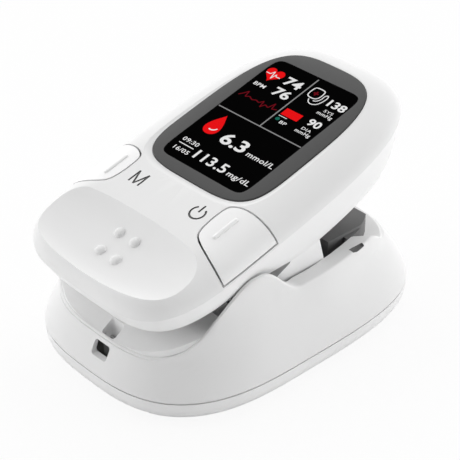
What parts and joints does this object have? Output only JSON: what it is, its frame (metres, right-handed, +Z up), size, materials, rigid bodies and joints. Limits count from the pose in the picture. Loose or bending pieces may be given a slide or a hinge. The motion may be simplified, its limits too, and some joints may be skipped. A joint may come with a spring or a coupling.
{
  "type": "blood glucose meter",
  "caption": "Fingertip clip meter with a sprung upper jaw, a colour screen under a dark lens, shoulder buttons and a finger channel between soft pads.",
  "frame": {"origin": "middle of the object's box, on the face that it rests on", "axes": "+X along the length towards the finger entry, +Y to the reader's left of the length, +Z up"},
  "size_m": [0.0603, 0.0438, 0.0383],
  "materials": {
    "white_shell": "satin white moulded plastic",
    "dark_lens": "tinted polished lens with a dark grey printed border",
    "display": "colour display module",
    "inner_plastic": "plain moulded plastic",
    "circuit_board": "green solder mask",
    "black_plastic": "moulded chip packages",
    "plated_steel": "nickel plated steel",
    "grey_silicone": "soft grey silicone",
    "clear_epoxy": "tinted clear epoxy",
    "cell_wrap": "plain printed film over a metal can"
  },
  "bodies": {
    "base": {"base_case": "white_shell", "bottom_cover": "white_shell", "battery_tray": "inner_plastic", "lower_finger_pad": "grey_silicone", "light_sensor": "clear_epoxy", "sensor_board": "circuit_board", "battery_cells": "cell_wrap", "spring_contacts": "plated_steel", "plate_contacts": "plated_steel", "hinge_pins": "plated_steel", "torsion_springs": "plated_steel", "base_screws": "plated_steel"},
    "head": {"top_cover": "white_shell", "head_lower_cover": "white_shell", "display_lens": "dark_lens", "display_panel": "display", "display_holder": "inner_plastic", "main_circuit_board": "circuit_board", "board_chips": "black_plastic", "button_switches": "plated_steel", "beeper": "black_plastic", "upper_finger_pad": "grey_silicone", "light_emitter": "clear_epoxy", "head_screws": "plated_steel"},
    "power_button": {"power_button": "white_shell"},
    "mode_button": {"mode_button": "white_shell"},
    "battery_door": {"battery_door": "white_shell"}
  },
  "joints": [
    {"name": "jaw_hinge", "type": "hinge", "parent": "base", "child": "head", "pos_m": [-0.009, 0, 0.014], "axis": [0, 1, 0], "range_deg": [-8, 15], "stiffness_Nm_per_rad": 0.3},
    {"name": "power_button_press", "type": "slide", "parent": "head", "child": "power_button", "axis": [0.2022, 0.6392, -0.742], "range_m": [0, 0.0003], "stiffness_N_per_m": 1000},
    {"name": "mode_button_press", "type": "slide", "parent": "head", "child": "mode_button", "axis": [0.2022, -0.6392, -0.742], "range_m": [0, 0.0003], "stiffness_N_per_m": 1000},
    {"name": "battery_door_slide", "type": "slide", "parent": "base", "child": "battery_door", "axis": [-1, 0, 0], "range_m": [0, 0.03]}
  ]
}
